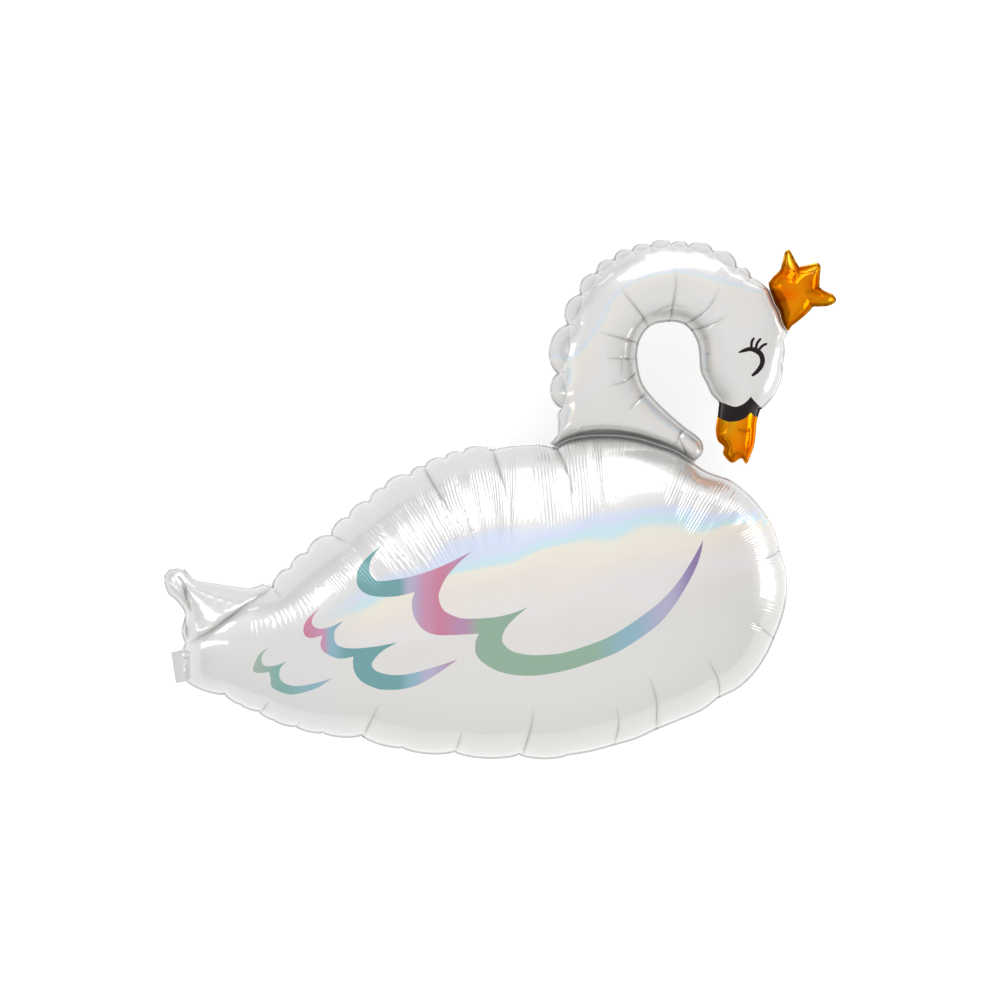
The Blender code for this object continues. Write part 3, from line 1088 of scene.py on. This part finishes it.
BELLY_BACK = [(168, -365), (134, -374), (98, -380)]
BELLY_NOTCHES = [(98, -380), (28, -378), (-68, -374), (-145, -368), (-206, -350), (-263, -346), (-303, -337),
                 (-337, -327), (-359, -314), (-386, -304), (-409, -289), (-466, -269)]
TAB = [(-466, -269), (-481, -272), (-488, -226), (-472, -222), (-468, -212)]

NECK_WEB = [(74, 84), (80, 91), (85, 99), (86, 117), (85, 128), (91, 136)]
NAPE_NOTCHES = [(91, 136), (85, 188), (100, 261), (119, 306), (143, 338), (169, 358), (196, 372), (223, 378),
                (254, 381), (279, 378), (316, 370), (351, 346), (372, 331), (398, 309)]
CROWN_BASE = [(398, 322), (401, 309), (407, 293), (414, 280), (418, 266), (423, 256), (428, 249)]
BROW_NOTCHES = [(425, 246), (420, 237), (419, 202), (413, 169), (386, 134)]
BEAK = [(386, 134), (381, 116), (378, 86), (371, 64), (365, 53), (358, 62), (344, 55), (331, 68), (332, 79),
        (323, 88), (320, 105), (323, 126), (325, 144)]
THROAT = [(325, 144), (313, 157), (306, 172), (297, 191), (295, 217), (292, 234), (283, 251), (272, 261)]
HOOK = [(272, 261), (257, 264), (242, 263), (228, 260), (217, 252), (208, 237), (204, 220), (205, 199),
        (211, 175), (223, 157), (243, 136), (270, 112), (289, 98)]
FOOT = [(289, 98), (299, 88), (302, 76), (299, 67), (290, 58)]

CROWN_HEART = (432, 290)
CROWN_SPIKE = [(398, 322), (406, 332), (415, 341), (419, 353), (422, 366), (427, 372), (432, 368), (438, 356),
               (444, 346)]
CROWN_CORNER = [(444, 346), (457, 349), (471, 352), (476, 346), (475, 335), (474, 316)]
CROWN_HORN = [(474, 316), (482, 310), (494, 305), (499, 297), (493, 290), (481, 287), (465, 287)]
CROWN_EDGE = [(465, 287), (455, 276), (441, 264), (432, 257), (428, 249)]

# How far the foil between two notches rises, as a share of their distance.
NAPE_BULGE = 0.27
BACK_BULGE = 0.18
SOFT_BULGE = 0.085
NO_BULGE = 0.0


def drawn(*runs: list[Point]) -> list[Curve]:
    """Lay a smooth curve through each run of drawn points."""
    return [smooth_curve(placed(run), FINE) for run in runs]


def creased(lines: list[tuple[Point, ...]], depth: float, width: float, even: bool = False) -> list[Crease]:
    """Give a crease of one depth and width for each line."""
    return [Crease(line, depth, width, even) for line in lines]


def neck_weld_line() -> Curve:
    """Give the line where the neck meets the body."""
    return drawn(NECK_WELD)[0]


def crown_base_line() -> Curve:
    """Give the line where the crown meets the head."""
    return drawn(CROWN_BASE)[0]


@dataclass
class Body:
    """The swan's body with its forked tail and printed wing."""

    back_creases: list[tuple[Point, ...]] = field(default_factory=lambda: [
        ((-12, 76), (-4, 53), (4, 24), (12, -10)), ((86, 74), (96, 49), (104, 19), (110, -12)),
        ((-113, 50), (-101, 27), (-79, -10), (-50, -50))])
    rim_creases: list[tuple[Point, ...]] = field(default_factory=lambda: [
        ((-249, -52), (-223, -64)), ((-338, -128), (-322, -145)), ((-338, -128), (-353, -147)),
        ((415, -76), (381, -92)), ((407, -206), (371, -178)), ((325, -294), (322, -267), (306, -233)),
        ((231, -341), (230, -295), (220, -258)), ((233, -341), (236, -320)),
        ((169, -362), (175, -329), (171, -304)), ((34, -375), (46, -332), (49, -303)),
        ((-65, -372), (-55, -337)), ((-203, -352), (-178, -300)), ((-301, -340), (-297, -326)),
        ((-353, -313), (-341, -297)), ((-411, -289), (-407, -282))])
    tail_creases: list[tuple[Point, ...]] = field(default_factory=lambda: [
        ((-336, -130), (-362, -146), (-395, -170), (-428, -194), (-462, -214)),
        ((-468, -172), (-464, -190), (-463, -208)), ((-478, -112), (-468, -126), (-464, -146), (-456, -166))])
    gathers: list[Gather] = field(default_factory=lambda: [
        Gather(((-200, -70), (-120, -35), (-40, 10), (60, 35), (110, 45)), 0.060),
        Gather(((260, 20), (290, -30)), 0.022), Gather(((340, 10), (385, -45), (412, -90)), 0.028),
        Gather(((385, -190), (405, -175)), 0.016), Gather(((105, 84), (165, 84)), 0.016),
        Gather(((-350, -190), (-290, -152)), 0.014, 0.8), Gather(((-80, -364), (-20, -369)), 0.010, 0.5)])

    def outline(self) -> np.ndarray:
        """Give the body's outline in metres."""
        return closed_outline(
            *drawn(TAIL), puffs(placed(BACK_NOTCHES), BACK_BULGE, FINE), *drawn(BACK), neck_weld_line(),
            *drawn(BREAST_TOP, BREAST, BREAST_UNDER, BELLY_FRONT, BELLY, BELLY_BACK),
            puffs(placed(BELLY_NOTCHES), SOFT_BULGE, FINE), puffs(placed(TAB), NO_BULGE, FINE))

    def feathers(self) -> list[Patch]:
        """Give the wing's printed feathers."""
        small = (
            ((-341, -217), (-355, -228), (-364, -248), (-361, -254), (-352, -255), (-340, -253)),
            ((-340, -253), (-338, -263), (-336, -276), (-318, -285), (-301, -286), (-270, -277),
             (-245, -261)),
            ((-245, -261), (-270, -269), (-297, -274), (-315, -271), (-324, -263), (-324, -249),
             (-315, -238)),
            ((-315, -238), (-328, -243), (-344, -245), (-351, -239), (-350, -228), (-341, -217)))
        middle = (
            ((-264, -157), (-283, -175), (-289, -188), (-287, -199), (-277, -203), (-261, -199)),
            ((-261, -199), (-264, -212), (-258, -224), (-237, -233), (-215, -230)),
            ((-215, -230), (-216, -236), (-214, -252), (-203, -267), (-182, -277), (-166, -279),
             (-145, -278), (-119, -271), (-92, -255), (-62, -234)),
            ((-62, -234), (-99, -246), (-132, -255), (-159, -257), (-180, -252), (-188, -244),
             (-186, -236), (-173, -222), (-151, -209)),
            ((-151, -209), (-182, -215), (-214, -218), (-233, -216), (-242, -209), (-243, -193),
             (-231, -178)),
            ((-231, -178), (-251, -187), (-267, -189), (-276, -183), (-275, -172), (-264, -157)))
        large = (
            ((-175, -67), (-196, -85), (-208, -101), (-211, -114), (-208, -128), (-196, -138),
             (-177, -142), (-150, -141), (-125, -135)),
            ((-125, -135), (-129, -148), (-128, -165), (-120, -182), (-108, -193), (-92, -198),
             (-68, -198), (-31, -196)),
            ((-31, -196), (-36, -209), (-35, -226), (-24, -239), (-3, -251), (25, -257), (59, -257),
             (101, -249), (135, -238), (171, -224), (205, -203), (233, -182), (254, -157), (274, -126),
             (288, -99), (295, -79), (299, -58)),
            ((299, -58), (291, -73), (280, -92), (260, -122), (233, -151), (197, -178), (163, -199),
             (129, -213), (93, -224), (67, -227), (42, -227), (19, -222), (7, -213), (3, -203), (9, -187),
             (25, -170), (41, -157)),
            ((41, -157), (18, -166), (-10, -172), (-48, -174), (-65, -171), (-82, -162), (-89, -148),
             (-89, -135), (-79, -114), (-62, -94), (-41, -75)),
            ((-41, -75), (-68, -89), (-95, -101), (-122, -110), (-149, -116), (-177, -119), (-188, -113),
             (-192, -101), (-188, -85), (-175, -67)))
        return [Patch(Finish.SMALL_FEATHERS, small), Patch(Finish.MIDDLE_FEATHERS, middle),
                Patch(Finish.LARGE_FEATHERS, large)]

    def chamber(self) -> Chamber:
        """Give the whole chamber, ready to build."""
        _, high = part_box("body")
        creases = creased(self.back_creases, depth=0.003, width=0.0018)
        creases += creased(self.rim_creases, depth=0.003, width=0.0012)
        creases += creased(self.tail_creases, depth=0.0045, width=0.0025, even=True)
        # Weaker painted shade along the weld and the joint with the neck than the foil's defaults.
        values = {"grid_step": 0.0034, "wave_height": 0.0004, "weld_shade": 0.15, "joint_shade": 0.1,
                  "steep_lines": [neck_weld_line()], "steep_reach": 0.009, "steepness": 0.25}
        return Chamber("foil_body", "body", 2 * (high.z - SEAM_HEIGHT), self.outline(), creases,
                       self.feathers(), np.array(placed(TAB)), self.gathers, foil_values=values)


@dataclass
class NeckAndHead:
    """The hooked neck with the head, printed eye and gold beak."""

    creases: list[tuple[Point, ...]] = field(default_factory=lambda: [
        ((220, 257), (200, 286), (177, 313)), ((251, 263), (260, 316), (260, 341)),
        ((273, 260), (304, 279), (325, 312)), ((282, 252), (307, 257), (338, 273)),
        ((204, 233), (145, 248)), ((203, 209), (156, 209)),
        ((200, 188), (185, 175), (159, 168)), ((214, 157), (190, 132)), ((276, 68), (267, 89), (272, 104)),
        ((270, 102), (262, 86), (258, 76))])
    faint_creases: list[tuple[Point, ...]] = field(default_factory=lambda: [
        ((222, 270), (250, 286), (276, 284)), ((181, 234), (181, 182)), ((197, 234), (197, 193)),
        ((299, 197), (312, 190)), ((297, 217), (311, 217)), ((293, 236), (308, 240))])
    weld_ripples: list[tuple[Point, ...]] = field(default_factory=lambda: [
        ((112, 97), (118, 108)), ((136, 97), (146, 102)), ((148, 102), (156, 97)), ((158, 97), (167, 102)),
        ((169, 102), (177, 97)), ((180, 96), (190, 100))])
    weld_fold: tuple[Point, ...] = ((92, 90), (132, 101), (178, 101), (232, 88), (270, 72))
    beak_creases: list[tuple[Point, ...]] = field(default_factory=lambda: [
        ((369, 108), (368, 86), (364, 58)), ((350, 106), (362, 102), (372, 104))])
    notch_reach: float = 12.0
    pocket_bulge: float = 0.2
    pocket_reach: float = 10.0
    lid_widths: tuple[float, ...] = (1.1, 2.7, 3.2, 4.0, 3.8, 3.7, 3.5, 3.0, 1.8)
    lash_widths: tuple[float, ...] = (2.0, 2.0, 1.6)

    def outline(self) -> np.ndarray:
        """Give the outline of neck, head and beak in metres."""
        above_weld = moved_sideways(neck_weld_line(), CHAMBER_GAP)
        behind_crown = moved_sideways(crown_base_line(), -CHAMBER_GAP)
        last_notch = placed(NAPE_NOTCHES[-1:])[0]
        shared = [p for p in behind_crown if p[1] < last_notch[1]]
        return closed_outline(
            *drawn(NECK_WEB), puffs(placed(NAPE_NOTCHES[:-1]), NAPE_BULGE, FINE),
            puffs([*placed(NAPE_NOTCHES[-2:-1]), shared[0]], SOFT_BULGE, FINE), shared,
            puffs(placed(BROW_NOTCHES), SOFT_BULGE, FINE), *drawn(BEAK, THROAT, HOOK, FOOT), above_weld[::-1])

    def pockets(self) -> list[Curve]:
        """Give the curved foot of each pocket between two notches of the nape."""
        notches = placed(NAPE_NOTCHES[:-1])
        found = []
        for start, end in zip(notches, notches[1:]):
            bulge = min(self.pocket_bulge, self.pocket_reach * SHARE / np.linalg.norm(end - start))
            found.append(puffs([start, end], -bulge, PRINT_STEP))
        return found

    def notch_creases(self) -> list[Crease]:
        """Give a short crease in from each notch of the nape."""
        found = []
        for start, end in zip(NAPE_NOTCHES, NAPE_NOTCHES[1:-1]):
            length = math.dist(start, end) / self.notch_reach
            tip = (end[0] + (end[1] - start[1]) / length, end[1] - (end[0] - start[0]) / length)
            found.append((end, tip))
        return creased(found, depth=0.003, width=0.0009)

    def eye(self) -> list[Patch]:
        """Give the closed eye and its lashes."""
        lid = [(353, 218), (361, 221), (370, 223), (380, 220), (386, 214), (388, 206), (386, 198),
               (380, 190), (373, 184)]
        lashes = ([(371, 225), (372, 234), (375, 239)], [(378, 225), (380, 232), (385, 238)],
                  [(383, 223), (388, 228), (394, 231)])
        lines = [stroke(lid, self.lid_widths), *(stroke(lash, self.lash_widths) for lash in lashes)]
        return [Patch(Finish.BLACK, (line,)) for line in lines]

    def beak_print(self) -> list[Patch]:
        """Give the gold of the beak and the black band above it."""
        top = ((318, 149), (335, 142), (347, 138), (358, 141), (366, 147), (371, 153))
        top_peak = ((371, 153), (377, 146), (392, 132))
        bottom_peak = ((392, 122), (382, 124), (377, 124), (371, 129))
        bottom = ((371, 129), (364, 122), (356, 118), (346, 116), (334, 117), (315, 128))
        band = Patch(Finish.BLACK, (top, top_peak, ((392, 132), (392, 122)), bottom_peak, bottom,
                                    ((315, 128), (318, 149))))
        gold = Patch(Finish.GOLD, (bottom[::-1], bottom_peak[::-1], ((392, 122), (392, 40)),
                                   ((392, 40), (310, 40)), ((310, 40), (315, 128))))
        return [gold, band]

    def chamber(self) -> Chamber:
        """Give the whole chamber, ready to build."""
        creases = creased(self.creases, depth=0.003, width=0.0012) + self.notch_creases()
        creases += creased(self.faint_creases, depth=0.001, width=0.0015, even=True)
        creases += creased(self.weld_ripples, depth=-0.0015, width=0.001, even=True)
        creases += creased([self.weld_fold], depth=0.0024, width=0.0013, even=True)
        creases += creased(self.beak_creases, depth=0.002, width=0.0014, even=True)
        values = {"grid_step": 0.0028, "gather_depth": 0.01, "pockets": self.pockets(),
                  "steep_lines": [neck_weld_line(), crown_base_line()]}
        return Chamber("foil_neck_and_head", "neck_and_head", NECK_HIGH.z - NECK_LOW.z, self.outline(),
                       creases, self.eye() + self.beak_print(), foil_values=values)


def stroke(middle: list[Point], half_widths: tuple[float, ...]) -> tuple[Point, ...]:
    """Draw a pen stroke as a closed line.

    Args:
        middle: Points along the stroke, in shares of the length.
        half_widths: The stroke's half width at each of them.

    Returns:
        The closed line round the stroke.
    """
    points = np.array(middle, float)
    along = np.gradient(points, axis=0)
    left = np.column_stack((-along[:, 1], along[:, 0])) / np.linalg.norm(along, axis=1)[:, None]
    offset = left * np.array(half_widths)[:, None]
    ahead = along[-1] / np.linalg.norm(along[-1]) * half_widths[-1]
    behind = along[0] / np.linalg.norm(along[0]) * half_widths[0]
    ends = points[-1] + ahead, points[0] - behind
    ring = [*(points + offset), ends[0], *(points - offset)[::-1], ends[1], points[0] + offset[0]]
    return tuple((float(x), float(y)) for x, y in ring)


@dataclass
class Crown:
    """The small gold crown."""

    creases: list[tuple[Point, ...]] = field(default_factory=lambda: [
        ((418, 352), (432, 340)), ((444, 346), (437, 320)), ((474, 316), (452, 306)),
        ((407, 293), (424, 296)), ((465, 287), (454, 298))])
    spike_base: tuple[Point, ...] = ((421, 340), (446, 337), (470, 338))
    horn_ridge: tuple[Point, ...] = ((472, 299), (482, 300), (491, 297))

    def outline(self) -> np.ndarray:
        """Give the crown's outline in metres."""
        spikes = drawn(CROWN_SPIKE, CROWN_CORNER, CROWN_HORN, CROWN_EDGE)
        return closed_outline(*spikes, crown_base_line()[::-1])

    def chamber(self) -> Chamber:
        """Give the whole chamber, ready to build."""
        low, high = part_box("crown")
        creases = creased(self.creases, depth=0.004, width=0.003)
        creases += creased([self.spike_base], depth=0.0015, width=0.001, even=True)
        creases += creased([self.horn_ridge], depth=-0.003, width=0.003, even=True)
        # Strong painted shade along the crown's rim and weld.
        values = {"grid_step": 0.002, "wave_height": 0.0004, "rim_shade": 0.8, "rim_reach": 0.0026,
                  "weld_shade": 0.9}
        return Chamber("foil_crown", "crown", high.z - low.z, self.outline(), creases, foil_values=values)


@dataclass(frozen=True)
class Softbox:
    """A rectangular light that faces a point and shows only as a reflection."""

    name: str
    place: tuple[float, float, float]
    size: tuple[float, float]
    aim: tuple[float, float, float]
    roll: float = 0.0
    strength: float = 1.0

    def hang(self, radiance: float) -> None:
        """Put the light in the scene.

        Args:
            radiance: The radiance of a softbox of full strength.
        """
        light = bpy.data.lights.new(self.name, "AREA")
        light.shape = "RECTANGLE"
        light.size, light.size_y = self.size
        light.energy = self.strength * radiance * math.pi * light.size * light.size_y
        lamp = bpy.data.objects.new(self.name, light)
        lamp.location = self.place
        facing = (Vector(self.aim) - Vector(self.place)).to_track_quat("-Z", "Y")
        lamp.rotation_euler = (facing @ Quaternion((0, 0, 1), math.radians(self.roll))).to_euler()
        lamp.visible_diffuse = False
        bpy.context.scene.collection.objects.link(lamp)


SOFTBOXES = (
    Softbox("key_over_the_back", (0.06, 3.36, 2.17), (4.2, 2.15), aim=(0.06, -0.14, 0.15), roll=42),
    Softbox("card_above_the_head", (1.2, 4.0, 0.6), (4.0, 1.1), aim=(0.2, 0.3, 0.16), strength=0.6),
    Softbox("card_before_the_breast", (0.82, -0.03, 0.14), (0.3, 0.26), aim=(0.3, -0.03, 0.14)),
    Softbox("card_before_the_head", (0.82, 0.3, 0.09), (0.2, 0.16), aim=(0.3, 0.22, 0.14)),
    Softbox("strip_behind_the_nape", (-1.4, 0.54, 1.0), (0.62, 0.55), aim=(0.08, 0.2, 0.1)),
    Softbox("card_left_of_the_tab", (-1.545, -0.2, 0.7), (0.12, 1.25), aim=(-0.375, -0.2, 0.13)),
    Softbox("card_beyond_the_tail", (-1.03, 1.71, 0.57), (0.36, 0.3), aim=(-0.36, -0.13, 0.15), strength=0.6))


@dataclass
class Studio:
    """Pale floor, soft lights and the camera above."""

    floor_side: float = 30.0
    floor_colour: Colour = (0.8, 0.8, 0.8)
    floor_glow: float = 0.38
    floor_roughness: float = 0.9
    farthest: float = 100.0
    horizon: float = 0.76
    zenith: float = 1.22
    front_fill: float = 0.21
    radiance: float = 2.8

    def floor(self) -> bpy.types.Object:
        """Lay the floor."""
        bpy.ops.mesh.primitive_plane_add(size=self.floor_side)
        floor = bpy.context.object
        floor.name = "studio_floor"
        shader = Shader.named("studio_floor")
        shader.set(Base_Color=(*self.floor_colour, 1), Emission_Color=(1, 1, 1, 1),
                   Emission_Strength=self.floor_glow, Roughness=self.floor_roughness, Specular_IOR_Level=0.0)
        floor.data.materials.append(shader.material)
        return floor

    def camera(self) -> None:
        """Hang the camera over the middle of the picture."""
        camera = bpy.data.objects.new("camera", bpy.data.cameras.new("camera"))
        camera.data.lens = LENS
        camera.data.sensor_width = SENSOR
        camera.data.clip_end = self.farthest
        camera.location = (0, -DRAWING_MIDDLE_Y * SHARE, SEAM_HEIGHT + CAMERA_DISTANCE)
        bpy.context.scene.collection.objects.link(camera)
        bpy.context.scene.camera = camera

    def world(self) -> None:
        """Set the even light of the room."""
        world = bpy.data.worlds.new("room")
        world.use_nodes = True
        nodes, links = world.node_tree.nodes, world.node_tree.links
        background = nodes["Background"]
        background.inputs[0].default_value = (1, 1, 1, 1)
        place, way = nodes.new("ShaderNodeTexCoord"), nodes.new("ShaderNodeSeparateXYZ")
        overhead, front = nodes.new("ShaderNodeMapRange"), nodes.new("ShaderNodeMapRange")
        both = nodes.new("ShaderNodeMath")
        overhead.inputs["To Min"].default_value = self.horizon
        overhead.inputs["To Max"].default_value = self.zenith
        front.inputs["From Max"].default_value = -1.0
        front.inputs["To Max"].default_value = self.front_fill
        links.new(place.outputs["Generated"], way.inputs[0])
        links.new(way.outputs["Z"], overhead.inputs["Value"])
        links.new(way.outputs["Y"], front.inputs["Value"])
        links.new(overhead.outputs[0], both.inputs[0])
        links.new(front.outputs[0], both.inputs[1])
        links.new(both.outputs[0], background.inputs[1])
        bpy.context.scene.world = world

    def build(self) -> None:
        """Set up the whole studio."""
        self.floor()
        self.camera()
        self.world()
        for softbox in SOFTBOXES:
            softbox.hang(self.radiance)
        view = bpy.context.scene.view_settings
        view.view_transform = "Standard"
        view.look = "None"


def main() -> None:
    """Build the balloon and its studio."""
    logging.basicConfig(level=logging.INFO, format="%(name)s: %(message)s")
    inks = [FeatherInk("small_feather_ink", SMALL_RUN), FeatherInk("middle_feather_ink", MIDDLE_RUN),
            FeatherInk("large_feather_ink", LARGE_RUN)]
    dressed = [film.material() for film in (PearlFoil(), *inks, BlackInk(), GoldFoil())]
    neck = [PearlFoil("neck_pearl_foil", bloom=0.4, bloom_drift=0.3).material(), *dressed[1:]]
    crown = [GoldFoil("crown_gold_foil", heart=CROWN_HEART).material()]
    for maker, materials in ((Body(), dressed), (NeckAndHead(), neck), (Crown(), crown)):
        piece = maker.chamber().build(materials)
        LOG.info("%s: %d faces", piece.name, len(piece.data.polygons))
    Studio().build()


if __name__ == "__main__":
    main()
